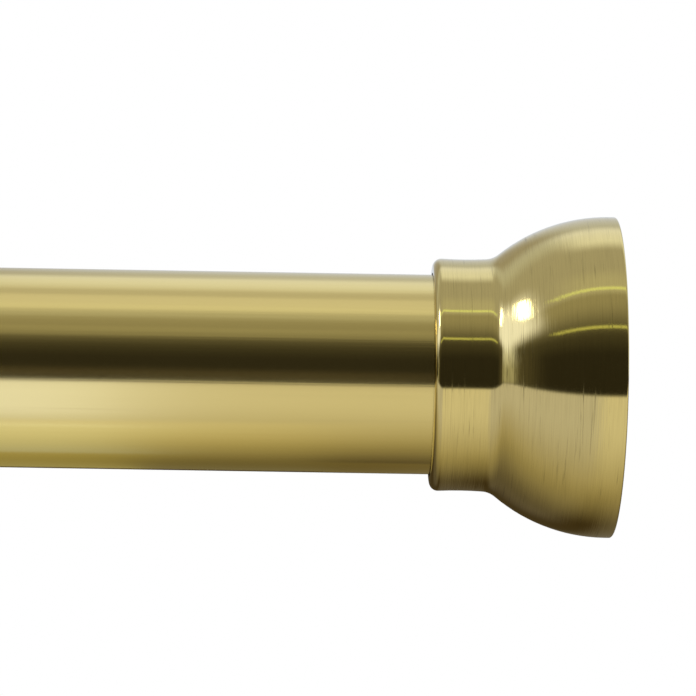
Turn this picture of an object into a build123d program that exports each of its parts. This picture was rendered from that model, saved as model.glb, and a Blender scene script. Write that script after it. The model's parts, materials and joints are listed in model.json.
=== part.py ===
from build123d import *
from math import acos, asin, cos, degrees, pi, sin, sqrt
import os

# Tension shower curtain rod, drawn at its shortest length.
# Two steel tubes telescope, a spring and an eccentric cam lock sit inside them,
# and each end has a rubber foot under a flared brass-coloured cover.
#
# The rod lies along X. The wall at the right-hand end is the plane X = 0, the rod
# runs from it towards -X, and "depth" is the distance from that wall.
# All sizes are in millimetres.

# Whole rod
shortest_length = 1066.8
longest_length = 1828.8
telescope_travel = longest_length - shortest_length

# Tubes
outer_tube_radius = 12.7
tube_wall = 0.7
telescope_gap = 0.9
outer_bore = outer_tube_radius - tube_wall
inner_tube_radius = outer_bore - telescope_gap
inner_bore = inner_tube_radius - tube_wall
crimp_half_width = 2.0
crimp_depth = 0.5
crimp_bend = 1.5
fit_clearance = 0.1

# Flared cover, a drawn shell of even thickness
cover_standoff = 0.2
cover_wall = 0.8
cover_clearance = 0.25
collar_rise = 2.15
collar_waist = 0.15
collar_length = 7.7
flare = 5.55
bell_arc_radius = 22.0
rim_land = 0.8
rim_edge_round = 0.25
neck_bend = 2.8
lip_bend = 1.1
collar_radius = outer_tube_radius + collar_rise
rim_radius = collar_radius + flare
cover_lip_bore = outer_tube_radius + cover_clearance
bell_start_depth = cover_standoff + rim_land
bell_angle = acos(1 - flare / bell_arc_radius)
neck_depth = bell_start_depth + bell_arc_radius * sin(bell_angle)
cover_end_depth = neck_depth + collar_length

# Plastic liner that centres a cover on its tube
liner_setback = 0.9
liner_nose_clearance = 0.1
liner_fit = 0.03
liner_length = collar_length - cover_wall - liner_setback

# Plug in the end of each tube, which carries the foot
plug_flange_depth = 4.2
plug_flange_thickness = 2.0
plug_length = 18.0
plug_wall = 1.8
plug_rib_count = 8
plug_rib_width = 1.6
plug_rib_height = 0.4
plug_lead_in = 0.15
tube_end_depth = plug_flange_depth + plug_flange_thickness
plug_end_depth = tube_end_depth + plug_length
plug_crimp_depth = tube_end_depth + plug_length / 2

# Rubber foot
foot_gap = 1.4
foot_side_wall = 2.8
foot_lip_thickness = 1.0
foot_lip_clearance = 0.6
foot_edge_round = 0.5
foot_back_draft = 0.6
groove_first_radius = 4.6
groove_pitch = 4.4
groove_width = 1.6
groove_depth = 0.8
groove_count = 3
foot_radius = rim_radius - cover_wall - foot_gap
foot_length = tube_end_depth + foot_lip_thickness
foot_lip_radius = outer_tube_radius + foot_lip_clearance
plug_flange_radius = foot_radius - foot_side_wall

# Bush in the mouth of the outer tube
bush_length = 15.0
bush_flange_thickness = 1.2
bush_flange_round = 0.4
bush_lead_in = 0.3
exposed_inner_tube = 15.0
cover_slide_gap = 1.0
mouth_depth = shortest_length - cover_end_depth - exposed_inner_tube
outer_tube_end_depth = mouth_depth - bush_flange_thickness

# Eccentric cam lock, at the hidden end of the inner tube
lock_gap = 6.0
screw_head_radius = 3.8
screw_head_height = 2.4
screw_shank_radius = 2.0
screw_shank_length = 10.0
screw_slot_width = 1.0
screw_slot_depth = 1.0
cam_room = 0.7
cam_length = 14.0
cam_washer_radius = 8.4
cam_washer_thickness = 1.2
cam_groove_radius = 0.5
cam_groove_count = 20
cam_side_clearance = 0.2
cam_radius = outer_bore - cam_room
journal_radius = 6.5
eccentricity = 1.5
journal_flange_clearance = 0.4
journal_flange_thickness = 4.0
journal_boss_radius = 7.0
journal_boss_length = 8.0
journal_flange_radius = outer_bore - journal_flange_clearance
pin_radius = 1.5

# Shaft that slides in the inner tube's end plug against the spring
shaft_radius = 4.0
shaft_across_flats = 6.4
shaft_end_radius = 3.0
shaft_clearance = 0.15
shaft_chamfer = 0.5
spring_travel = 25.0
travel_margin = 1.4
guide_flange_clearance = 0.15
guide_flange_thickness = 1.5
guide_flange_round = 0.3
guide_length = 20.0
guide_flange_radius = outer_bore - guide_flange_clearance

# Spring, its seat on the shaft and its stop in the tube
spring_free_length = 70.0
spring_wire_radius = 1.1
spring_side_clearance = 1.3
spring_turns = 11
spring_mean_radius = inner_bore - spring_side_clearance - spring_wire_radius
spring_seat_clearance = 0.6
spring_seat_thickness = 2.0
spring_seat_radius = inner_bore - spring_seat_clearance
spring_hub_clearance = 0.2
spring_hub_length = 3.0
spring_hub_radius = spring_mean_radius - spring_wire_radius - spring_hub_clearance
clip_thickness = 1.0
clip_radius = 5.0
clip_groove_depth = 0.5
clip_opening = 4.0
shaft_tail = 1.2
stop_length = 16.0
stop_hole_radius = 4.0

# Depths of the lock's pieces, each from the one before it
screw_head_depth = plug_end_depth + lock_gap
cam_washer_depth = screw_head_depth + screw_head_height
cam_depth = cam_washer_depth + cam_washer_thickness + cam_side_clearance
journal_flange_depth = cam_depth + cam_length + cam_side_clearance
journal_boss_depth = journal_flange_depth + journal_flange_thickness
boss_end_depth = journal_boss_depth + journal_boss_length
shaft_start_depth = journal_flange_depth + journal_flange_thickness / 2
guide_depth = boss_end_depth + spring_travel + travel_margin
inner_tube_start_depth = guide_depth + guide_flange_thickness
guide_end_depth = inner_tube_start_depth + guide_length
spring_seat_depth = guide_end_depth + fit_clearance
spring_start_depth = spring_seat_depth + spring_seat_thickness
clip_depth = spring_start_depth + spring_hub_length
shaft_end_depth = clip_depth + clip_thickness + shaft_tail
stop_depth = spring_start_depth + spring_free_length
stop_end_depth = stop_depth + stop_length
middle_plane = Plane.YZ.offset(-shortest_length / 2)


def band(near, far, inner, outer, mode=Mode.ADD):
    """A rectangle of a half-section, between two depths and two radii."""
    with Locations((-(near + far) / 2, (inner + outer) / 2)):
        Rectangle(far - near, outer - inner, mode=mode)


def across(depth):
    """The plane across the rod at a depth, facing back towards the right-hand wall."""
    return Plane.YZ.offset(-depth)


def moved_to_left_end(piece):
    """The same piece at the other end of the rod, mirrored about its middle."""
    with BuildPart() as mirrored:
        mirror(piece.part, about=middle_plane)
    return mirrored


def make_tube(start, end, radius, crimps):
    """A thin tube with a rolled groove at each depth in crimps."""
    corners = [(-start, radius)]
    for crimp in crimps:
        corners += [
            (-crimp + crimp_half_width, radius),
            (-crimp, radius - crimp_depth),
            (-crimp - crimp_half_width, radius),
        ]
    corners.append((-end, radius))
    with BuildPart() as tube:
        with BuildSketch(Plane.XZ):
            with BuildLine():
                FilletPolyline(*corners, radius=crimp_bend)
                offset(amount=tube_wall, side=Side.LEFT)
            make_face()
        revolve(axis=Axis.X)
    return tube


def crimp_ring(crimp, bore):
    """The ring that is cut out of a plug where its tube's crimp seats."""
    with BuildPart() as ring:
        with BuildSketch(Plane.XZ):
            band(
                crimp - crimp_half_width - crimp_depth,
                crimp + crimp_half_width + crimp_depth,
                bore - crimp_depth - fit_clearance,
                bore + fit_clearance,
            )
        revolve(axis=Axis.X)
    return ring.part


def make_cover():
    """The flared cover of one end: rim, bell, neck, waisted collar and inturned lip."""

    def bell(angle):
        return (
            -bell_start_depth - bell_arc_radius * sin(angle),
            rim_radius - bell_arc_radius * (1 - cos(angle)),
        )

    neck = (-neck_depth, collar_radius)
    lip_corner = (-cover_end_depth, collar_radius)
    waist = (-(neck_depth + cover_end_depth) / 2, collar_radius - collar_waist)
    with BuildPart() as cover:
        with BuildSketch(Plane.XZ):
            with BuildLine() as outline:
                Line((-cover_standoff, rim_radius), bell(0))
                ThreePointArc(bell(0), bell(bell_angle / 2), neck)
                ThreePointArc(neck, waist, lip_corner)
                Line(lip_corner, (-cover_end_depth, cover_lip_bore))
                corners = outline.vertices()
                fillet(corners.sort_by_distance(neck)[0], neck_bend)
                corners = outline.vertices()
                fillet(corners.sort_by_distance(lip_corner)[0], lip_bend)
                offset(amount=cover_wall, side=Side.LEFT)
            make_face()
        revolve(axis=Axis.X)
        rim_edges = cover.edges().group_by(Axis.X)[-1]
        fillet(rim_edges, rim_edge_round)
    return cover


def make_liner(tube_radius):
    """The ring inside a cover's collar. On the thin tube its nose fills the cover's lip."""
    bore = tube_radius + cover_clearance
    liner_radius = collar_radius - collar_waist - cover_wall - liner_fit
    lip_inner_depth = cover_end_depth - cover_wall
    with BuildPart() as liner:
        with BuildSketch(Plane.XZ):
            band(lip_inner_depth - liner_length, lip_inner_depth, bore, liner_radius)
            if bore < cover_lip_bore:
                nose_radius = cover_lip_bore - liner_nose_clearance
                band(lip_inner_depth, cover_end_depth, bore, nose_radius)
        revolve(axis=Axis.X)
        outer_edges = liner.edges().filter_by(
            lambda edge: edge.geom_type == GeomType.CIRCLE and edge.radius > cover_lip_bore
        )
        chamfer(outer_edges, lip_bend - cover_wall)
    return liner


def make_foot():
    """The rubber foot: a grooved face, and a lip that snaps over the plug's flange."""
    pocket_start = plug_flange_depth - fit_clearance
    pocket_end = plug_flange_depth + plug_flange_thickness + fit_clearance
    with BuildPart() as foot:
        with BuildSketch(Plane.XZ) as section:
            with BuildLine():
                Polyline(
                    (0, 0),
                    (0, foot_radius),
                    (-foot_length, foot_radius - foot_back_draft),
                    (-foot_length, 0),
                    close=True,
                )
            make_face()
            outer_corners = section.vertices().group_by(Axis.Y)[1:]
            fillet([corner for group in outer_corners for corner in group], foot_edge_round)
            band(pocket_start, pocket_end, 0, plug_flange_radius + fit_clearance, Mode.SUBTRACT)
            band(pocket_end, foot_length, 0, foot_lip_radius, Mode.SUBTRACT)
            for ring in range(groove_count):
                inner = groove_first_radius + ring * groove_pitch
                band(0, groove_depth, inner, inner + groove_width, Mode.SUBTRACT)
        revolve(axis=Axis.X)
    return foot


def make_plug(bore):
    """The moulded plug of one tube: a flange, a cup and crush ribs that grip the bore."""
    core_radius = bore - plug_rib_height
    with BuildPart() as plug:
        with BuildSketch(Plane.XZ):
            band(plug_flange_depth, tube_end_depth, 0, plug_flange_radius)
            band(tube_end_depth, plug_end_depth, core_radius - plug_wall, core_radius)
        revolve(axis=Axis.X)
        with BuildSketch(across(plug_end_depth)):
            with PolarLocations(core_radius, plug_rib_count):
                Rectangle(2 * plug_rib_height + plug_wall / 2, plug_rib_width)
            Circle(bore, mode=Mode.INTERSECT)
        extrude(amount=plug_length)
        chamfer(plug.edges().group_by(Axis.X)[0], plug_lead_in)
        add(crimp_ring(plug_crimp_depth, bore), mode=Mode.SUBTRACT)
    return plug


def double_flat(radius, across_flats):
    """A circle with two flats, in the sketch being drawn."""
    Circle(radius)
    Rectangle(2 * radius, across_flats, mode=Mode.INTERSECT)


# The two tubes
outer_tube = make_tube(
    tube_end_depth, outer_tube_end_depth, outer_tube_radius, [plug_crimp_depth]
)
guide_crimp = inner_tube_start_depth + guide_length / 2
stop_crimp = stop_depth + stop_length / 2
left_crimp = shortest_length - plug_crimp_depth
inner_tube = make_tube(
    inner_tube_start_depth,
    shortest_length - tube_end_depth,
    inner_tube_radius,
    [guide_crimp, stop_crimp, left_crimp],
)

# The two ends
right_cover = make_cover()
left_cover = moved_to_left_end(right_cover)
right_cover_liner = make_liner(outer_tube_radius)
left_cover_liner = moved_to_left_end(make_liner(inner_tube_radius))
right_foot = make_foot()
left_foot = moved_to_left_end(right_foot)
right_end_plug = make_plug(outer_bore)
left_end_plug = moved_to_left_end(make_plug(inner_bore))

# Bush in the mouth of the outer tube, which the inner tube slides through
with BuildPart() as mouth_bush:
    bush_bore = inner_tube_radius + fit_clearance
    with BuildSketch(Plane.XZ):
        band(mouth_depth - bush_length, outer_tube_end_depth, bush_bore, outer_bore)
        band(outer_tube_end_depth, mouth_depth, bush_bore, outer_tube_radius)
    revolve(axis=Axis.X)
    mouth_edges = mouth_bush.edges().group_by(Axis.X)[0].sort_by(SortBy.RADIUS)
    fillet(mouth_edges[-1], bush_flange_round)
    chamfer(mouth_edges[0], bush_lead_in)

# Screw and washer that keep the cam on its journal
with BuildPart() as cam_screw:
    with BuildSketch(across(cam_washer_depth)):
        with Locations((0, -eccentricity)):
            Circle(screw_head_radius)
    extrude(amount=screw_head_height)
    fillet(cam_screw.edges().group_by(Axis.X)[-1], screw_head_height / 2)
    with BuildSketch(across(screw_head_depth)):
        with Locations((0, -eccentricity)):
            Rectangle(2 * screw_head_radius, screw_slot_width)
    extrude(amount=-screw_slot_depth, mode=Mode.SUBTRACT)
    with BuildSketch(across(cam_washer_depth)):
        with Locations((0, -eccentricity)):
            Circle(screw_shank_radius)
    extrude(amount=-screw_shank_length)

with BuildPart() as cam_washer:
    with BuildSketch(across(cam_washer_depth + cam_washer_thickness)):
        with Locations((0, -eccentricity)):
            Circle(cam_washer_radius)
            Circle(screw_shank_radius, mode=Mode.SUBTRACT)
    extrude(amount=cam_washer_thickness)

# Cam with a ribbed rim, bored off centre for its journal
with BuildPart() as lock_cam:
    with BuildSketch(across(cam_depth + cam_length)):
        Circle(cam_radius)
        with PolarLocations(cam_radius, cam_groove_count):
            Circle(cam_groove_radius, mode=Mode.SUBTRACT)
        with Locations((0, -eccentricity)):
            Circle(journal_radius + fit_clearance, mode=Mode.SUBTRACT)
    extrude(amount=cam_length)

# Journal: an eccentric stub, a flange that guides it in the tube, and a boss for the shaft
with BuildPart() as cam_journal:
    journal_end_depth = cam_washer_depth + cam_washer_thickness
    with BuildSketch(across(journal_flange_depth)):
        with Locations((0, -eccentricity)):
            Circle(journal_radius)
    extrude(amount=journal_flange_depth - journal_end_depth)
    with BuildSketch(Plane.XZ):
        band(journal_flange_depth, journal_boss_depth, 0, journal_flange_radius)
        band(journal_boss_depth, boss_end_depth, 0, journal_boss_radius)
    revolve(axis=Axis.X)
    with BuildSketch(across(shaft_start_depth)):
        double_flat(shaft_radius, shaft_across_flats)
    extrude(amount=shaft_start_depth - boss_end_depth, mode=Mode.SUBTRACT)
    with BuildSketch(across(journal_end_depth)):
        with Locations((0, -eccentricity)):
            Circle(screw_shank_radius)
    extrude(amount=cam_washer_thickness - screw_shank_length, mode=Mode.SUBTRACT)
    pin_depth = journal_boss_depth + journal_boss_length / 2
    with BuildSketch(Plane.XY.offset(-journal_boss_radius)):
        with Locations((-pin_depth, 0)):
            Circle(pin_radius)
    extrude(amount=2 * journal_boss_radius, mode=Mode.SUBTRACT)

# Pin through the boss and the shaft
with BuildPart() as journal_pin:
    pin_half_length = sqrt(journal_boss_radius**2 - pin_radius**2)
    with BuildSketch(Plane.XY.offset(-pin_half_length)):
        with Locations((-pin_depth, 0)):
            Circle(pin_radius)
    extrude(amount=2 * pin_half_length)

# Shaft with two flats and a thinner end for the spring seat
with BuildPart() as lock_shaft:
    with BuildSketch(across(spring_seat_depth)):
        double_flat(shaft_radius, shaft_across_flats)
    extrude(amount=spring_seat_depth - shaft_start_depth)
    with BuildSketch(across(shaft_end_depth)):
        Circle(shaft_end_radius)
    extrude(amount=shaft_end_depth - spring_seat_depth)
    chamfer(lock_shaft.edges().group_by(Axis.X)[0], shaft_chamfer)
    with BuildSketch(Plane.XZ):
        band(
            clip_depth,
            clip_depth + clip_thickness,
            shaft_end_radius - clip_groove_depth,
            shaft_end_radius + clip_groove_depth,
        )
    revolve(axis=Axis.X, mode=Mode.SUBTRACT)
    with BuildSketch(Plane.XY.offset(-shaft_radius)):
        with Locations((-pin_depth, 0)):
            Circle(pin_radius)
    extrude(amount=2 * shaft_radius, mode=Mode.SUBTRACT)

# Plug in the hidden end of the inner tube: it glides in the outer tube and guides the shaft
with BuildPart() as guide_plug:
    with BuildSketch(Plane.XZ):
        band(guide_depth, inner_tube_start_depth, 0, guide_flange_radius)
        band(inner_tube_start_depth, guide_end_depth, 0, inner_bore)
    revolve(axis=Axis.X)
    flange_edges = guide_plug.edges().filter_by(
        lambda edge: edge.geom_type == GeomType.CIRCLE and edge.radius == guide_flange_radius
    )
    fillet(flange_edges, guide_flange_round)
    add(crimp_ring(guide_crimp, inner_bore), mode=Mode.SUBTRACT)
    with BuildSketch(across(guide_end_depth)):
        double_flat(shaft_radius + shaft_clearance, shaft_across_flats + 2 * shaft_clearance)
    extrude(amount=guide_end_depth - guide_depth, mode=Mode.SUBTRACT)

# Spring seat, held on the shaft's end by an open clip
with BuildPart() as spring_seat:
    with BuildSketch(Plane.XZ):
        band(spring_seat_depth, spring_start_depth, shaft_end_radius, spring_seat_radius)
        band(spring_start_depth, clip_depth, shaft_end_radius, spring_hub_radius)
    revolve(axis=Axis.X)

with BuildPart() as seat_clip:
    clip_inner_radius = shaft_end_radius - clip_groove_depth
    with BuildSketch(across(clip_depth + clip_thickness)):
        Circle(clip_radius)
        Circle(clip_inner_radius, mode=Mode.SUBTRACT)
        with Locations((0, -clip_radius)):
            Rectangle(clip_opening, 2 * clip_radius, mode=Mode.SUBTRACT)
    extrude(amount=clip_thickness)

# Compression spring with ground ends
with BuildPart() as spring:
    spring_pitch = spring_free_length / spring_turns
    with BuildLine() as coil:
        Helix(
            pitch=spring_pitch,
            height=spring_free_length,
            radius=spring_mean_radius,
            center=(-spring_start_depth, 0, 0),
            direction=(-1, 0, 0),
        )
    with BuildSketch(Plane(origin=coil.line @ 0, z_dir=coil.line % 0)):
        Circle(spring_wire_radius)
    sweep()
    split(bisect_by=across(spring_start_depth), keep=Keep.BOTTOM)
    split(bisect_by=across(stop_depth), keep=Keep.TOP)

# Stop that the spring pushes on, crimped in the inner tube
with BuildPart() as spring_stop:
    with BuildSketch(Plane.XZ):
        band(stop_depth, stop_end_depth, stop_hole_radius, inner_bore)
        band(stop_depth - spring_hub_length, stop_depth, stop_hole_radius, spring_hub_radius)
    revolve(axis=Axis.X)
    add(crimp_ring(stop_crimp, inner_bore), mode=Mode.SUBTRACT)

pieces = {
    "outer_tube": outer_tube,
    "inner_tube": inner_tube,
    "right_cover": right_cover,
    "left_cover": left_cover,
    "right_cover_liner": right_cover_liner,
    "left_cover_liner": left_cover_liner,
    "right_foot": right_foot,
    "left_foot": left_foot,
    "right_end_plug": right_end_plug,
    "left_end_plug": left_end_plug,
    "mouth_bush": mouth_bush,
    "lock_cam": lock_cam,
    "cam_journal": cam_journal,
    "journal_pin": journal_pin,
    "cam_washer": cam_washer,
    "cam_screw": cam_screw,
    "lock_shaft": lock_shaft,
    "guide_plug": guide_plug,
    "spring_seat": spring_seat,
    "seat_clip": seat_clip,
    "spring": spring,
    "spring_stop": spring_stop,
}

os.makedirs("parts", exist_ok=True)
for name, piece in pieces.items():
    piece.part.label = name
    export_step(piece.part, f"parts/{name}.step")

# How far the cam can swing before it meets the bore, and the depths that the joints use
print("cam meets the bore at", round(degrees(2 * asin(cam_room / 2 / eccentricity)), 2), "degrees")
print("cam axis at x", round(-(cam_depth + cam_length / 2), 3), "z", -eccentricity)
print("telescope travel", round(telescope_travel, 3))
print("overlap at full length", round(mouth_depth - guide_depth - telescope_travel, 2))
print("left cover may slide", round(exposed_inner_tube - cover_slide_gap, 2))
print("right cover may slide", round(mouth_depth - cover_end_depth - cover_slide_gap, 2))
print("spring starts and stops at x", -spring_start_depth, -stop_depth)
print("wire length of the spring", round(2 * pi * spring_mean_radius * spring_turns, 1))
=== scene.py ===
# %% [markdown]
# # A tension shower curtain rod
#
# Two thin steel tubes telescope, a spring and a cam lock hide inside them, and
# each end has a rubber foot under a flared, brushed brass cover. The solids come
# from CAD and are the fixed frame here. Blender gives them smooth turned skins,
# finishes, a small studio and a camera.

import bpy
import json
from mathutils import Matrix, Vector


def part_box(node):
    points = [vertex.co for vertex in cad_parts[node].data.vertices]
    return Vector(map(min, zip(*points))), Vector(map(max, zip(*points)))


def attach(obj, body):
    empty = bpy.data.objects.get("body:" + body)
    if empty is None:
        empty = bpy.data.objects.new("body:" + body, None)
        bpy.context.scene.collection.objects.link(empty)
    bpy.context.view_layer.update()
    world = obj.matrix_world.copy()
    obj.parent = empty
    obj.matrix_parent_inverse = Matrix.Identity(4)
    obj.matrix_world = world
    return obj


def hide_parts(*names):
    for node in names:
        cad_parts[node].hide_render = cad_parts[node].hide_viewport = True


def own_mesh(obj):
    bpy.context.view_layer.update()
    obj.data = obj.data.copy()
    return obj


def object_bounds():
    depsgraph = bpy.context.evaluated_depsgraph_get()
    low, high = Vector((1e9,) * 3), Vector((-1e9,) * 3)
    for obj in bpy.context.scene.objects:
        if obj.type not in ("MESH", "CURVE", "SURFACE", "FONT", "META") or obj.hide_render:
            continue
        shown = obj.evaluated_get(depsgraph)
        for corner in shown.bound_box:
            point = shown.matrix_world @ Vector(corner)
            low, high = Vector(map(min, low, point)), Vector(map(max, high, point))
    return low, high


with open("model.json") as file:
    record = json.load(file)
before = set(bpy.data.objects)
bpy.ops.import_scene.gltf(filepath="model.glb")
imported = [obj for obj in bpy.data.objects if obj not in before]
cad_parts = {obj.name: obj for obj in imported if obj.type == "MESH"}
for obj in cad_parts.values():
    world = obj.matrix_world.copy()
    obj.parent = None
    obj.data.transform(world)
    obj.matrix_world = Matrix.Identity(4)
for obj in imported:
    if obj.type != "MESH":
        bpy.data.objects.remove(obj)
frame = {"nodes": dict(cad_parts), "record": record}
cad_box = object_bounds()
print("CAD box", [tuple(round(c, 4) for c in corner) for corner in cad_box])

# %% [markdown]
# ## Sizes
#
# The rod lies along X. Its right-hand wall is the plane X = 0, and the rod runs
# towards -X. Every size that follows is measured on the CAD nodes, so the looks
# follow the solids if the source changes.

# %% Read the sizes
import json
import math

import bmesh
import bpy
from mathutils import Matrix, Vector

rod_low, rod_high = cad_box
rod_length = rod_high.x - rod_low.x
rod_middle = (rod_low + rod_high) / 2
cover_low, cover_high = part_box("right_cover")
cover_length = cover_high.x - cover_low.x
rim_radius = cover_high.z
tube_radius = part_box("outer_tube")[1].z
print("rod", round(rod_length, 4), "cover", round(cover_length, 4), "tube", round(tube_radius, 4))

# %% [markdown]
# ## Camera
#
# The photograph is a close-up of the right-hand end, seen square to the tube with
# a long lens, so the tube's two edges stay almost parallel. The camera stands to the
# left of the cover's lip and a touch above the axis, so that the rim shows its curve.
# It is rolled by just under a degree, which lets the tube fall slightly to the right.

# %% Place the camera
view_lens = 142.6
view_distance = 0.351
view_left = 0.0357
view_rise = 0.0032
view_turn = math.radians(-0.295)
view_roll = math.radians(0.95)
sensor_width = 36.0

camera = bpy.data.objects.new("camera", bpy.data.cameras.new("long_lens"))
bpy.context.scene.collection.objects.link(camera)
camera.data.lens = view_lens
camera.data.sensor_width = sensor_width
camera.data.clip_start = 0.01
camera.data.clip_end = 100.0
level_view = Matrix.Rotation(math.radians(90), 4, "X")
camera.matrix_world = (
    Matrix.Translation((-view_left, -view_distance, view_rise))
    @ Matrix.Rotation(view_turn, 4, "Z")
    @ level_view
    @ Matrix.Rotation(view_roll, 4, "Z")
)
bpy.context.scene.camera = camera
print("camera at", tuple(round(c, 4) for c in camera.location))

# %% [markdown]
# ## Node helpers
#
# Shader and geometry trees are made of many small nodes. One helper adds a node,
# sets its own settings and fills its inputs: a socket is linked, and anything else
# is set as the input's value. The others do sums, mix two colours, make a smooth
# step and tell the rays that see the backdrop from those that light the object.

# %% Define the node helpers
def put(tree, kind, inputs=None, **settings):
    """A new node in tree, with its settings, and its inputs linked or set."""
    node = tree.nodes.new(kind)
    node.location = (220 * (len(tree.nodes) % 12), -240 * (len(tree.nodes) // 12))
    for name, value in settings.items():
        setattr(node, name, value)
    for key, value in (inputs or {}).items():
        if isinstance(value, bpy.types.NodeSocket):
            tree.links.new(value, node.inputs[key])
        else:
            node.inputs[key].default_value = value
    return node


def sums(tree, operation, a, b=0.0, c=0.0):
    """The result of one Math node."""
    return put(tree, "ShaderNodeMath", {0: a, 1: b, 2: c}, operation=operation).outputs[0]


def blend_colour(tree, share, below, above):
    """Two colours mixed: below where share is 0, above where it is 1."""
    mix = put(tree, "ShaderNodeMix", {0: share, 6: below, 7: above}, data_type="RGBA")
    return mix.outputs[2]


def soft_step(tree, value, start, end, low=0.0, high=1.0):
    """A value that goes smoothly from low at start to high at end."""
    step = put(
        tree,
        "ShaderNodeMapRange",
        {"Value": value, "From Min": start, "From Max": end, "To Min": low, "To Max": high},
        interpolation_type="SMOOTHSTEP",
    )
    return step.outputs["Result"]


def grey(level):
    """A neutral colour at a level."""
    return (level, level, level, 1.0)


def backdrop_rays(tree):
    """1 for camera, glossy and transmission rays, and then 1 for glossy rays alone."""
    path = put(tree, "ShaderNodeLightPath")
    glossy = path.outputs["Is Glossy Ray"]
    direct = sums(tree, "ADD", path.outputs["Is Camera Ray"], path.outputs["Is Transmission Ray"])
    return sums(tree, "ADD", direct, glossy), glossy


print("helpers ready")

# %% [markdown]
# ## The studio that the metal mirrors
#
# Polished brass shows its surroundings far more than its own colour, so the studio
# is what makes it look right. A tube bends the room into level bands: each band is
# one card, softbox or wall, at a height angle round the rod. 0 degrees is the
# camera's side, 90 is overhead, 180 is behind and minus angles are below. A card
# may also end to the left or right, as the X part of its direction says. The bell
# and the neck turn away from the tube's direction and mirror what is far to the
# left, so several cards are only there for them. The cards lie over a plain white
# backdrop, later ones in front. Only glossy rays see them; everything else is lit by
# an even pale room, so rubber and plastic keep their own colours.

# %% Name the studio's cards
whole = (-2.0, 0.1, 2.0, 0.1)
studio_cards = {
    # name: (lower edge, softness, upper edge, softness), in degrees
    #       (left end, softness, right end, softness), as the X part of the direction
    #       colour, and density
    "pale table to the left": ((-240, 1, -4, 3), (-2, 0.1, -0.12, 0.07), (0.81, 0.83, 0.98), 1.0),
    "table turning brown": ((-240, 1, -66, 35), whole, (0.55, 0.50, 0.33), 1.0),
    "shade under the rod": ((-240, 1, -105, 30), whole, (0.07, 0.05, 0.02), 1.0),
    "low light to the right": ((-240, 1, -84, 20), (0.05, 0.06, 2, 0.1), (0.95, 0.90, 0.75), 0.13),
    "low light to the left": ((-148, 14, -88, 20), (-2, 0.1, -0.14, 0.10), (0.80, 0.78, 0.72), 0.13),
    "ceiling": ((0, 1, 240, 1), whole, (0.60, 0.61, 0.64), 1.0),
    "rear wall": ((118, 8, 240, 1), whole, (0.74, 0.79, 0.88), 1.0),
    "rear wall to the left": ((136, 8, 240, 1), (-2, 0.1, -0.14, 0.12), (0.50, 0.48, 0.42), 1.0),
    "rear softbox": ((109, 7, 134, 6), (-0.20, 0.12, 2, 0.1), (1.18, 1.27, 1.52), 1.0),
    "ceiling by the wall": ((60, 1, 80, 7), (-0.40, 0.2, 2, 0.1), (0.70, 0.72, 0.70), 1.0),
    "front wall": ((-12, 2, 63, 3), whole, (0.47, 0.46, 0.38), 1.0),
    "dim front wall": ((-12, 2, 43, 15), whole, (0.085, 0.080, 0.055), 1.0),
    "dark room in front": ((-12, 2, 24, 9), whole, (0.036, 0.033, 0.024), 1.0),
    "faint light to the left": ((-12, 2, 32, 11), (-2, 0.1, -0.80, 0.14), (0.122, 0.112, 0.075), 1.0),
    "left wall": ((-12, 2, 60, 10), (-2, 0.1, -0.919, 0.008), (0.64, 0.66, 0.60), 1.0),
    "left window": ((30, 22, 110, 8), (-2, 0.1, -0.905, 0.012), (1.20, 1.30, 1.60), 1.0),
    "window glow": ((46, 9, 93, 9), (-2, 0.1, -0.70, 0.11), (1.50, 1.65, 2.40), 0.95),
    "dark far left": ((-24, 8, 105, 15), (-2, 0.1, -0.957, 0.01), (0.06, 0.055, 0.045), 1.0),
}
room_level = 0.8
print("studio cards", len(studio_cards))

# %% Build the studio
world = bpy.data.worlds.new("small_studio")
bpy.context.scene.world = world
world.use_nodes = True
room = world.node_tree
room.nodes.clear()
ray = put(room, "ShaderNodeSeparateXYZ", {0: put(room, "ShaderNodeTexCoord").outputs["Generated"]})
towards_camera = sums(room, "MULTIPLY", ray.outputs["Y"], -1.0)
height_angle = sums(room, "ARCTAN2", ray.outputs["Z"], towards_camera)
height = sums(room, "MULTIPLY", height_angle, math.degrees(1.0))


def between(tree, value, low, low_soft, high, high_soft):
    """1 where value lies between low and high, with soft ends."""
    rise = soft_step(tree, value, low - low_soft, low + low_soft)
    fall = soft_step(tree, value, high - high_soft, high + high_soft, 1.0, 0.0)
    return sums(tree, "MULTIPLY", rise, fall)


mirrored = grey(1.0)
for heights, ends, colour, density in studio_cards.values():
    share = sums(room, "MULTIPLY", between(room, height, *heights), density)
    if ends is not whole:
        share = sums(room, "MULTIPLY", share, between(room, ray.outputs["X"], *ends))
    mirrored = blend_colour(room, share, mirrored, (*colour, 1.0))
print("studio nodes", len(room.nodes))

# %% [markdown]
# The white backdrop itself comes from Light Path: camera, glossy and transmission
# rays see plain white at strength 1, and no light is added to the object for it.

# %% Close the world's tree
sees_white, glossy = backdrop_rays(room)
plain = blend_colour(room, sees_white, grey(room_level), grey(1.0))
seen = blend_colour(room, glossy, plain, mirrored)
light = put(room, "ShaderNodeBackground", {"Color": seen, "Strength": 1.0})
put(room, "ShaderNodeOutputWorld", {"Surface": light.outputs[0]})
bpy.context.scene.view_settings.view_transform = "Standard"
print("world nodes", len(room.nodes))

# %% [markdown]
# ## The lamps
#
# A small round softbox hangs up to the left. It gives the white spot where the
# bell begins and the streak in the cover's neck, and a soft shadow on the floor.
# The other lamps are linked to one kind of piece each, because a satin tube shows
# its room in broader, warmer bands than a brushed cover does. The tubes get a wide
# panel overhead, low walls in front, and pale panels below that end to the left. The
# covers get two thin yellow-green strips, which they mirror as fine lines.

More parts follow.
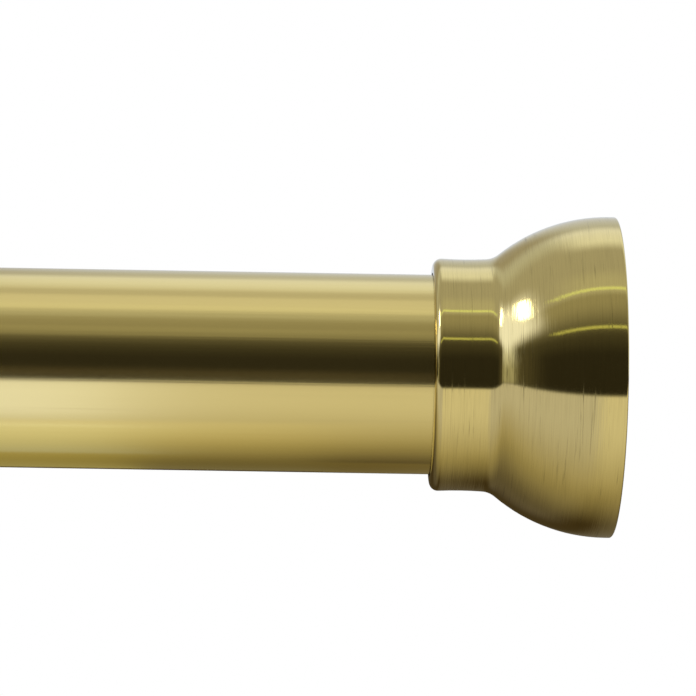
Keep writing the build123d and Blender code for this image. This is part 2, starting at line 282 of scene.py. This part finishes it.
# %% Hang the softboxes
def softbox(name, shape, height_angle, leftness, distance, size, lean, radiance, colour):
    """An area lamp in a direction from the cover, facing it. Its radiance is what a mirror shows."""
    level = math.sqrt(1.0 - leftness * leftness)
    turn = math.radians(height_angle)
    direction = Vector((-leftness, -level * math.cos(turn), level * math.sin(turn)))
    data = bpy.data.lights.new(name, "AREA")
    data.shape = shape
    data.size, data.size_y = size
    data.color = colour
    data.energy = radiance * math.pi * size[0] * size[1]
    holder = bpy.data.objects.new(name, data)
    bpy.context.scene.collection.objects.link(holder)
    sideways = Vector((1, 0, 0)) - direction * direction.x
    sideways.normalize()
    upward = direction.cross(sideways)
    turned_to = Matrix((sideways, upward, direction)).transposed().to_4x4()
    turned_to = turned_to @ Matrix.Rotation(-math.radians(lean), 4, "Z")
    holder.matrix_world = Matrix.Translation(direction * distance) @ turned_to
    print(name, round(data.energy, 2), "W")
    return holder


softbox("left_softbox", "ELLIPSE", 75.8, 0.753, 1.2, (0.15, 0.33), 13, 7.0, (1.0, 1.0, 1.0))
linked_lamps = {
    # name: height angle, distance, (left edge, right edge), height, radiance, colour
    "tubes": {
        "wide_overhead": (90.5, 1.0, (-0.60, 0.06), 0.71, 0.20, (0.94, 0.97, 1.0)),
        "overhead": (83.5, 1.0, (-0.60, 0.06), 0.37, 0.25, (0.94, 0.97, 1.0)),
        "front_wall": (44.5, 1.0, (-0.60, 0.06), 0.19, 0.15, (1.0, 1.0, 0.80)),
        "front_table": (-3, 1.0, (-0.60, 0.02), 0.16, 0.055, (1.0, 0.85, 0.60)),
        "left_window_top": (-32.5, 0.8, (-1.2, -0.124), 0.567, 0.29, (0.38, 0.46, 1.0)),
        "left_window_middle": (-36.0, 0.8, (-1.2, -0.124), 0.679, 0.36, (0.40, 0.50, 1.0)),
        "left_window_low": (-40.5, 0.8, (-1.2, -0.124), 0.837, 0.44, (0.50, 0.62, 1.0)),
        "left_table": (-89.0, 0.8, (-1.2, -0.119), 0.679, 0.48, (0.60, 0.76, 1.0)),
        "low_left_table": (-136.0, 0.8, (-1.2, -0.119), 0.712, 0.20, (1.0, 0.92, 0.25)),
        "wide_table": (-110, 0.8, (-1.2, -0.039), 1.90, 0.16, (1.0, 0.93, 0.50)),
        "low_right_table": (-145, 0.8, (-0.039, 0.60), 0.60, 0.12, (1.0, 0.85, 0.35)),
    },
    "covers": {
        "upper_strip": (66.0, 1.0, (-0.66, 0.60), 0.040, 0.58, (0.74, 1.0, 0.15)),
        "lower_strip": (36.1, 1.0, (-0.75, 0.60), 0.037, 0.70, (0.90, 1.0, 0.36)),
    },
}
lit_alone = {}
for kind, lamps in linked_lamps.items():
    lit_alone[kind] = bpy.data.collections.new(f"{kind}_only")
    for name, (turn, distance, (left, right), height, radiance, colour) in lamps.items():
        size = (right - left, height)
        lamp = softbox(name, "RECTANGLE", turn, 0.0, distance, size, 0, radiance, colour)
        lamp.location.x = (left + right) / 2
        lamp.light_linking.receiver_collection = lit_alone[kind]

# %% [markdown]
# ## The floor
#
# The rod floats over a wide pale floor that takes its soft shadow. Away from the
# rod the floor fades to the backdrop's white, so no horizon shows. From below, its
# back is clear, so the rod can be looked at from there too.

# %% Lay the floor
floor_drop = 0.25
floor_half = 12.0
floor_colour = 0.92
fade_start = 0.75
fade_end = 1.6

floor_mesh = bpy.data.meshes.new("floor")
corners = [(-1, -1), (1, -1), (1, 1), (-1, 1)]
floor_mesh.from_pydata(
    [(rod_middle.x + floor_half * x, floor_half * y, -floor_drop) for x, y in corners],
    [],
    [(0, 1, 2, 3)],
)
floor = bpy.data.objects.new("floor", floor_mesh)
bpy.context.scene.collection.objects.link(floor)
floor.visible_glossy = False

floor_paint = bpy.data.materials.new("pale_floor")
floor_paint.use_nodes = True
paint = floor_paint.node_tree
paint.nodes.clear()
place = put(paint, "ShaderNodeTexCoord").outputs["Object"]
from_rod = put(paint, "ShaderNodeVectorMath", {0: place, 1: (rod_middle.x, 0, -floor_drop)},
               operation="DISTANCE").outputs["Value"]
faded = soft_step(paint, from_rod, fade_start, fade_end)
sees_white, glossy = backdrop_rays(paint)
white_share = sums(paint, "MULTIPLY", faded, sees_white)
matte = put(paint, "ShaderNodeBsdfDiffuse", {"Color": grey(floor_colour)})
white = put(paint, "ShaderNodeEmission", {"Color": grey(1.0), "Strength": 1.0})
laid = put(paint, "ShaderNodeMixShader", {0: white_share, 1: matte.outputs[0], 2: white.outputs[0]})
clear = put(paint, "ShaderNodeBsdfTransparent")
back = put(paint, "ShaderNodeNewGeometry").outputs["Backfacing"]
both = put(paint, "ShaderNodeMixShader", {0: back, 1: laid.outputs[0], 2: clear.outputs[0]})
put(paint, "ShaderNodeOutputMaterial", {"Surface": both.outputs[0]})
floor_mesh.materials.append(floor_paint)
print("floor at", -floor_drop)

# %% [markdown]
# ## Shared effects
#
# Some effects come back in more than one finish, so each is a node group that is
# built once. Fine lines are what a brush, a lathe or a drawing die leaves: noise
# that changes fast across the lines and slowly along them. Handling is the low,
# cloudy change that fingers and cloths leave in a gloss. Moulded grain is the
# fine leather-like texture of plastic and rubber.

# %% Build the fine lines group
def shader_group(name, inputs, outputs):
    """An empty shader group with named float inputs, and its input and output nodes."""
    group = bpy.data.node_groups.new(name, "ShaderNodeTree")
    for label, value in inputs.items():
        socket = group.interface.new_socket(label, in_out="INPUT", socket_type="NodeSocketFloat")
        socket.default_value = value
    for label in outputs:
        group.interface.new_socket(label, in_out="OUTPUT", socket_type="NodeSocketFloat")
    return group, group.nodes.new("NodeGroupInput"), group.nodes.new("NodeGroupOutput")


scratch_scale = 0.55
scratch_edges = (0.58, 0.74)

lines_group, given, made = shader_group(
    "fine_lines", {"Along X": 100.0, "Round X": 1000.0}, ["Height", "Scratches"]
)
spot = put(lines_group, "ShaderNodeTexCoord").outputs["Object"]
stretch = put(lines_group, "ShaderNodeCombineXYZ", {
    "X": given.outputs["Along X"],
    "Y": given.outputs["Round X"],
    "Z": given.outputs["Round X"],
}).outputs[0]
stretched = put(lines_group, "ShaderNodeVectorMath", {0: spot, 1: stretch},
                operation="MULTIPLY").outputs[0]
fine = put(lines_group, "ShaderNodeTexNoise",
           {"Vector": stretched, "Scale": 1.0, "Detail": 2.0, "Roughness": 0.6}).outputs[0]
wider = put(lines_group, "ShaderNodeVectorMath", {0: stretched, "Scale": scratch_scale},
            operation="SCALE").outputs[0]
broad = put(lines_group, "ShaderNodeTexNoise",
            {"Vector": wider, "Scale": 1.0, "Detail": 3.0, "Roughness": 0.7}).outputs[0]
scratches = soft_step(lines_group, broad, *scratch_edges)
lines_group.links.new(fine, made.inputs["Height"])
lines_group.links.new(scratches, made.inputs["Scratches"])
print("fine lines", len(lines_group.nodes), "nodes")

# %% Build the handling and moulded grain groups
speck_fineness = 40.0
speck_edges = (0.70, 0.80)
slow_cloud_size = 90.0

handling_group, given, made = shader_group("handling", {"Size": 60.0}, ["Cloud", "Specks"])
spot = put(handling_group, "ShaderNodeTexCoord").outputs["Object"]
cloud = put(handling_group, "ShaderNodeTexNoise",
            {"Vector": spot, "Scale": given.outputs["Size"], "Detail": 4.0}).outputs[0]
speck_size = sums(handling_group, "MULTIPLY", given.outputs["Size"], speck_fineness)
specks = put(handling_group, "ShaderNodeTexNoise",
             {"Vector": spot, "Scale": speck_size, "Detail": 1.0}).outputs[0]
handling_group.links.new(cloud, made.inputs["Cloud"])
handling_group.links.new(soft_step(handling_group, specks, *speck_edges), made.inputs["Specks"])

grain_group, given, made = shader_group("moulded_grain", {"Size": 2500.0}, ["Height", "Cloud"])
spot = put(grain_group, "ShaderNodeTexCoord").outputs["Object"]
cells = put(grain_group, "ShaderNodeTexVoronoi",
            {"Vector": spot, "Scale": given.outputs["Size"]}).outputs["Distance"]
slow = put(grain_group, "ShaderNodeTexNoise",
           {"Vector": spot, "Scale": slow_cloud_size, "Detail": 3.0}).outputs[0]
grain_group.links.new(cells, made.inputs["Height"])
grain_group.links.new(slow, made.inputs["Cloud"])
print("groups", [g.name for g in bpy.data.node_groups])

# %% [markdown]
# ## Metal finishes
#
# The covers are brushed brass: turned against a fine abrasive, so hairlines run
# round the axis. The lines spread a reflection along the axis only, which is
# what the anisotropic setting does, and the bump breaks it up line by line. The
# deeper hairlines are a little darker and duller than the metal between them. The
# tubes are smoother, drawn brass-coloured steel whose faint lines run lengthwise.
# The lock's steel and cast pieces use the same recipe with other numbers.

# %% Define the metal recipe
relief_depth = 0.0001
line_middle = 0.42


def metal(name, colour, gloss, lines, line_bump, lengthwise, streak, anisotropy=0.0, scuff=0.02):
    """A metal with fine lines per metre. gloss is (lowest, highest) roughness, scuff the lines' own."""
    material = bpy.data.materials.new(name)
    material.use_nodes = True
    tree = material.node_tree
    tree.nodes.clear()
    marks = put(tree, "ShaderNodeGroup", node_tree=lines_group,
                inputs={"Along X": lines[0], "Round X": lines[1]})
    wear = put(tree, "ShaderNodeGroup", node_tree=handling_group, inputs={"Size": 60.0})
    darker = tuple(c * (1.0 - streak) for c in colour)
    above_middle = sums(tree, "SUBTRACT", marks.outputs["Height"], line_middle)
    shade = sums(tree, "ADD", marks.outputs["Scratches"], above_middle)
    tint = blend_colour(tree, shade, (*colour, 1.0), (*darker, 1.0))
    dulled = sums(tree, "MULTIPLY_ADD", wear.outputs["Cloud"], gloss[1] - gloss[0], gloss[0])
    scratched = sums(tree, "MULTIPLY_ADD", marks.outputs["Scratches"], scuff, dulled)
    relief = put(tree, "ShaderNodeBump",
                 {"Height": marks.outputs["Height"], "Strength": line_bump, "Distance": relief_depth})
    shader = put(tree, "ShaderNodeBsdfPrincipled", {
        "Base Color": tint,
        "Roughness": scratched,
        "Normal": relief.outputs[0],
        "Metallic": 1.0,
        "Anisotropic": anisotropy,
        "Anisotropic Rotation": 0.0 if lengthwise else 0.25,
    })
    if anisotropy:
        tangent = put(tree, "ShaderNodeTangent", direction_type="RADIAL", axis="X")
        tree.links.new(tangent.outputs[0], shader.inputs["Tangent"])
    put(tree, "ShaderNodeOutputMaterial", {"Surface": shader.outputs[0]})
    return material


brass = (0.60, 0.48, 0.18)
steel = (0.56, 0.56, 0.57)
alloy = (0.42, 0.43, 0.45)
dark_steel = (0.30, 0.30, 0.32)
finishes = {
    # slot: name, colour, gloss, lines along and round X, bump, lengthwise, streak, anisotropy, scuff
    "cover_finish": metal("brushed_brass", brass, (0.06, 0.10), (7000, 160), 0.10, False, 0.30, 0.3, 0.16),
    "tube_finish": metal("drawn_brass", brass, (0.13, 0.18), (25, 3500), 0.04, True, 0.03),
    "inner_tube_finish": metal("drawn_brass_inner", brass, (0.19, 0.25), (25, 3000), 0.05, True, 0.04),
    "cast_metal": metal("cast_alloy", alloy, (0.35, 0.50), (1800, 1800), 0.35, True, 0.1),
    "bright_steel": metal("bright_steel", steel, (0.16, 0.26), (4000, 300), 0.15, False, 0.08),
    "spring_steel": metal("spring_steel", dark_steel, (0.22, 0.36), (600, 600), 0.20, True, 0.2),
}
print("metals", sorted(finishes))

# %% [markdown]
# ## Plastic and rubber finishes
#
# The feet are moulded rubber, almost black and matte, and the liners, bush and
# plugs are pale moulded plastic. All share the moulded grain, fine on the plastic
# and coarser on the rubber, and a slow cloud that keeps their colour from being flat.

# %% Define the moulded recipe
dust_share = 0.25
cloud_dulling = 0.15


def moulded(name, colour, roughness, grain_size, grain_bump, unevenness, sheen=0.0):
    """A moulded plastic or rubber. unevenness is how far its colour drifts."""
    material = bpy.data.materials.new(name)
    material.use_nodes = True
    tree = material.node_tree
    tree.nodes.clear()
    grain = put(tree, "ShaderNodeGroup", node_tree=grain_group, inputs={"Size": grain_size})
    wear = put(tree, "ShaderNodeGroup", node_tree=handling_group, inputs={"Size": 80.0})
    low = tuple(c * (1.0 - unevenness) for c in colour)
    high = tuple(min(1.0, c * (1.0 + unevenness)) for c in colour)
    tint = blend_colour(tree, grain.outputs["Cloud"], (*low, 1.0), (*high, 1.0))
    dusty = tuple(0.7 * c + 0.15 for c in colour)
    dust = sums(tree, "MULTIPLY", wear.outputs["Specks"], dust_share)
    tint = blend_colour(tree, dust, tint, (*dusty, 1.0))
    dulled = sums(tree, "MULTIPLY_ADD", wear.outputs["Cloud"], cloud_dulling, roughness)
    relief = put(tree, "ShaderNodeBump",
                 {"Height": grain.outputs["Height"], "Strength": grain_bump, "Distance": relief_depth})
    shader = put(tree, "ShaderNodeBsdfPrincipled", {
        "Base Color": tint,
        "Roughness": dulled,
        "Normal": relief.outputs[0],
        "Sheen Weight": sheen,
    })
    put(tree, "ShaderNodeOutputMaterial", {"Surface": shader.outputs[0]})
    return material


finishes.update({
    "foot_rubber": moulded("foot_rubber", (0.045, 0.045, 0.045), 0.62, 2200, 0.45, 0.25, 0.1),
    "liner_plastic": moulded("liner_plastic", (0.72, 0.70, 0.60), 0.38, 4000, 0.12, 0.04),
    "plug_plastic": moulded("plug_plastic", (0.60, 0.58, 0.50), 0.45, 3500, 0.20, 0.06),
    "bush_plastic": moulded("bush_plastic", (0.66, 0.60, 0.42), 0.36, 4000, 0.12, 0.05),
    "cam_plastic": moulded("cam_plastic", (0.78, 0.77, 0.72), 0.40, 3500, 0.15, 0.04),
})
print("finishes", len(finishes))

# %% [markdown]
# ## Turned skins by Geometry Nodes
#
# Tubes, covers, liners, bush and feet are all turned: one section goes round the
# rod's axis. That rule suits Geometry Nodes. A grid gets a row for each point of the
# section and a column for each step round, and Set Position rolls it up. Merging
# by distance closes the seam. The sections are read from the CAD solids, whose
# own meshes have only some forty sides, too few for a clean reflection.

# %% Build the turning tree
turning = bpy.data.node_groups.new("turn_a_section", "GeometryNodeTree")
for label, kind in (
    ("Section", "NodeSocketGeometry"),
    ("Steps round", "NodeSocketInt"),
    ("Merge distance", "NodeSocketFloat"),
    ("Finish", "NodeSocketMaterial"),
):
    turning.interface.new_socket(label, in_out="INPUT", socket_type=kind)
turning.interface.new_socket("Turned", in_out="OUTPUT", socket_type="NodeSocketGeometry")
given = turning.nodes.new("NodeGroupInput")
made = turning.nodes.new("NodeGroupOutput")

section_size = put(turning, "GeometryNodeAttributeDomainSize",
                   {"Geometry": given.outputs["Section"]})
columns = sums(turning, "ADD", given.outputs["Steps round"], 1.0)
grid = put(turning, "GeometryNodeMeshGrid", {
    "Vertices X": section_size.outputs["Point Count"],
    "Vertices Y": columns,
})
index = put(turning, "GeometryNodeInputIndex").outputs[0]
row = sums(turning, "FLOOR", sums(turning, "DIVIDE", index, columns))
column = sums(turning, "SUBTRACT", index, sums(turning, "MULTIPLY", row, columns))
point = put(turning, "GeometryNodeSampleIndex", {
    "Geometry": given.outputs["Section"],
    "Value": put(turning, "GeometryNodeInputPosition").outputs[0],
    "Index": row,
}, data_type="FLOAT_VECTOR")
on_section = put(turning, "ShaderNodeSeparateXYZ", {0: point.outputs["Value"]})
turn = sums(turning, "MULTIPLY", column, math.tau)
turn = sums(turning, "DIVIDE", turn, given.outputs["Steps round"])
rolled = put(turning, "ShaderNodeCombineXYZ", {
    "X": on_section.outputs["X"],
    "Y": sums(turning, "MULTIPLY", on_section.outputs["Z"], sums(turning, "SINE", turn)),
    "Z": sums(turning, "MULTIPLY", on_section.outputs["Z"], sums(turning, "COSINE", turn)),
})
shaped = put(turning, "GeometryNodeSetPosition",
             {"Geometry": grid.outputs["Mesh"], "Position": rolled.outputs[0]})
closed = put(turning, "GeometryNodeMergeByDistance",
             {"Geometry": shaped.outputs[0], "Distance": given.outputs["Merge distance"]})
smooth = put(turning, "GeometryNodeSetShadeSmooth", {"Geometry": closed.outputs[0]})
real = put(turning, "GeometryNodeRealizeInstances", {"Geometry": smooth.outputs[0]})
finished = put(turning, "GeometryNodeSetMaterial",
               {"Geometry": real.outputs[0], "Material": given.outputs["Finish"]})
turning.links.new(finished.outputs[0], made.inputs["Turned"])
print("turning tree", len(turning.nodes), "nodes")

# %% [markdown]
# A turned solid's mesh has all of its section's points in one half-plane, where its
# seam is. A merged copy of the CAD mesh is walked there from point to point. Long
# straight runs get a holding point near each end, so that the smooth shading of
# a bend doesn't creep along the run.

# %% Read a section
merge_distance = 1e-6
holding_gap = 0.0004


def section_of(node):
    """The closed or axis-to-axis section of a turned CAD node, as (x, radius) in order."""
    copy = bmesh.new()
    copy.from_mesh(frame["nodes"][node].data)
    bmesh.ops.remove_doubles(copy, verts=copy.verts, dist=merge_distance)
    on_seam = {v for v in copy.verts if abs(v.co.y) < merge_distance and v.co.z > 0}
    beside = {v: [e.other_vert(v) for e in v.link_edges if e.other_vert(v) in on_seam]
              for v in on_seam}
    ends = [v for v in on_seam if len(beside[v]) == 1]
    here = min(ends or on_seam, key=lambda v: (-v.co.x, v.co.z))
    walked = [here]
    while True:
        left = [v for v in beside[walked[-1]] if v not in walked]
        if not left:
            break
        walked.append(left[0])
    points = [(v.co.x, v.co.z) for v in walked]
    copy.free()
    if len(points) != len(on_seam):
        raise ValueError(f"{node}: {len(points)} of {len(on_seam)} seam points were walked")
    if ends:
        return [(points[0][0], 0.0)] + points + [(points[-1][0], 0.0)]
    return points + points[:1]


def with_holding_points(points):
    """The section with a point near each end of every long run."""
    held = [points[0]]
    for (x0, r0), (x1, r1) in zip(points, points[1:]):
        run = math.hypot(x1 - x0, r1 - r0)
        if run > 3 * holding_gap:
            for part in (holding_gap / run, 1 - holding_gap / run):
                held.append((x0 + part * (x1 - x0), r0 + part * (r1 - r0)))
        held.append((x1, r1))
    return held


print("cover section", len(section_of("right_cover")), "points")

# %% [markdown]
# Each section becomes a small mesh of its own, and the turning tree runs on it as
# a modifier. The result is taken as a plain mesh. A closed mesh has a volume with a
# sign, and a negative one says its faces point inwards, so then they are flipped.

# %% Turn a piece
crease_angle = math.radians(32)


def turned(name, node, steps, slot):
    """A turned skin for a CAD node, on the node's own body, in the finish of a slot."""
    points = with_holding_points(section_of(node))
    line = bpy.data.meshes.new(name + "_section")
    line.from_pydata([(x, 0.0, r) for x, r in points],
                     [(i, i + 1) for i in range(len(points) - 1)], [])
    lathe = bpy.data.objects.new(name + "_lathe", line)
    bpy.context.scene.collection.objects.link(lathe)
    modifier = lathe.modifiers.new("turn", "NODES")
    modifier.node_group = turning
    values = {"Steps round": steps, "Merge distance": merge_distance, "Finish": finishes[slot]}
    for socket in turning.interface.items_tree:
        if socket.in_out == "INPUT" and socket.name in values:
            modifier[socket.identifier] = values[socket.name]
    graph = bpy.context.evaluated_depsgraph_get()
    mesh = bpy.data.meshes.new_from_object(lathe.evaluated_get(graph))
    bpy.data.objects.remove(lathe)
    mesh.name = name
    shell = bmesh.new()
    shell.from_mesh(mesh)
    if shell.calc_volume(signed=True) < 0:
        bmesh.ops.reverse_faces(shell, faces=shell.faces)
    open_edges = sum(1 for edge in shell.edges if len(edge.link_faces) != 2)
    shell.to_mesh(mesh)
    shell.free()
    mesh.set_sharp_from_angle(angle=crease_angle)
    piece = bpy.data.objects.new(name, mesh)
    bpy.context.scene.collection.objects.link(piece)
    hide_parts(node)
    bodies = frame["record"]["behaviour"]["bodies"]
    body = next(owner for owner, members in bodies.items() if node in members)
    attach(piece, body)
    print(name, len(mesh.polygons), "faces, open edges", open_edges, "on", body)
    return piece


# %% [markdown]
# ## The two tubes and the bush
#
# The outer tube is the one in the photograph. The inner tube slides in it, and a
# plastic bush in the outer tube's mouth keeps the two in line.

# %% Turn the tubes and the bush
tube_steps = 192
lit_alone["tubes"].objects.link(turned("outer_tube_skin", "outer_tube", tube_steps, "tube_finish"))
lit_alone["tubes"].objects.link(turned("inner_tube_skin", "inner_tube", tube_steps, "inner_tube_finish"))
turned("mouth_bush_skin", "mouth_bush", tube_steps, "bush_plastic")

# %% [markdown]
# ## The flared covers, their liners and the feet
#
# A cover is spun from thin sheet: rim, bell, neck, waisted collar and an inturned
# lip round the tube. A plastic liner centres it, and the rubber foot stays under it
# on the wall.

# %% Turn the covers, liners and feet
cover_steps = 256
for side in ("right", "left"):
    cover_skin = turned(f"{side}_cover_skin", f"{side}_cover", cover_steps, "cover_finish")
    lit_alone["covers"].objects.link(cover_skin)
    turned(f"{side}_liner_skin", f"{side}_cover_liner", tube_steps, "liner_plastic")
    turned(f"{side}_foot_skin", f"{side}_foot", tube_steps, "foot_rubber")

# %% [markdown]
# ## The hidden works
#
# Plugs, cam lock and shaft are inside the tubes. Their CAD shapes are right as
# they are, so they stay, and only their materials are replaced.

# %% Finish the CAD nodes that stay
hidden_works = {
    "plug_plastic": ["right_end_plug", "left_end_plug", "guide_plug", "spring_stop", "spring_seat"],
    "cam_plastic": ["lock_cam"],
    "cast_metal": ["cam_journal"],
    "bright_steel": ["journal_pin", "cam_washer", "cam_screw", "lock_shaft", "seat_clip"],
}
for slot, nodes in hidden_works.items():
    for node in nodes:
        mesh = frame["nodes"][node].data
        mesh.materials.clear()
        mesh.materials.append(finishes[slot])
print("CAD nodes with new finishes", sum(len(nodes) for nodes in hidden_works.values()))

# %% [markdown]
# ## The spring
#
# The coil spring is the one metal piece that changes its length: its seat on the
# shaft pushes it against its stop. A merged copy of its CAD mesh, shaded smooth,
# stands in for the CAD node on the inner rod's body, and keeps the node's shape.

coil = bmesh.new()
coil.from_mesh(frame["nodes"]["spring"].data)
bmesh.ops.remove_doubles(coil, verts=coil.verts, dist=merge_distance)
for face in coil.faces:
    face.smooth = True
coil_mesh = bpy.data.meshes.new("spring_coil")
coil.to_mesh(coil_mesh)
print("spring coil", len(coil.faces), "faces, open edges",
      sum(1 for edge in coil.edges if len(edge.link_faces) != 2))
coil.free()
coil_mesh.set_sharp_from_angle(angle=crease_angle)
coil_mesh.materials.clear()
coil_mesh.materials.append(finishes["spring_steel"])
spring_coil = bpy.data.objects.new("spring_coil", coil_mesh)
bpy.context.scene.collection.objects.link(spring_coil)
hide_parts("spring")
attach(spring_coil, "inner_rod")
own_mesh(spring_coil)
